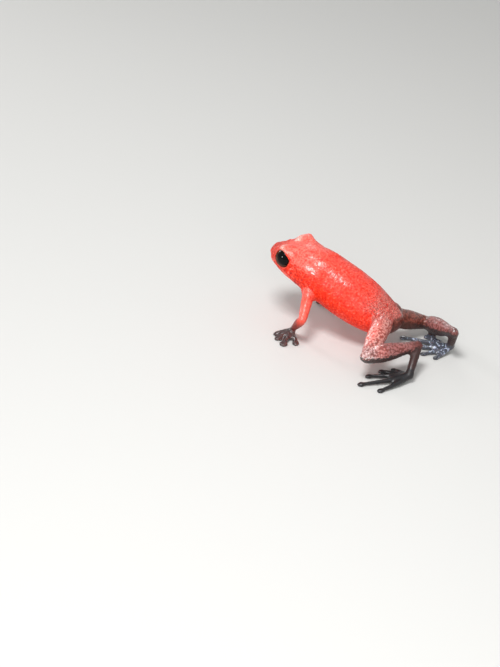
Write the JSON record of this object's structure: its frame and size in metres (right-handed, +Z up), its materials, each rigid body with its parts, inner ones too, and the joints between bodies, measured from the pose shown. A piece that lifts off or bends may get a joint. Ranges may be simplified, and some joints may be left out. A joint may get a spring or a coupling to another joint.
{
  "type": "poison dart frog",
  "caption": "Small smooth-skinned frog standing on spread feet with disc-tipped toes, head raised and one hind leg trailing, red-orange with darker hands and feet.",
  "frame": {"origin": "on the floor, under the middle of the whole frog's bounding box", "axes": "the frog faces -Y, +X is its left side and +Z is up; its soles and toe discs lie on z = 0"},
  "size_m": [0.0218, 0.0296, 0.0124],
  "materials": {
    "head": "moist, softly glossy, fine grained skin",
    "torso": "moist, softly glossy, fine grained skin",
    "upper_arm": "moist, softly glossy skin",
    "forearm": "moist, softly glossy skin",
    "hand": "wet, glossy skin",
    "thigh": "moist, finely granular skin",
    "shank": "moist, finely granular skin",
    "tarsus": "wet, glossy skin",
    "foot": "wet, glossy skin",
    "eye": "wet, mirror-like black"
  },
  "bodies": {
    "root": {"head": "head", "torso": "torso", "upper_arm_left": "upper_arm", "upper_arm_right": "upper_arm", "forearm_left": "forearm", "forearm_right": "forearm", "hand_left": "hand", "hand_right": "hand", "thigh_left": "thigh", "thigh_right": "thigh", "shank_left": "shank", "shank_right": "shank", "tarsus_left": "tarsus", "tarsus_right": "tarsus", "foot_left": "foot", "foot_right": "foot", "eye_left": "eye", "eye_right": "eye"}
  },
  "joints": []
}
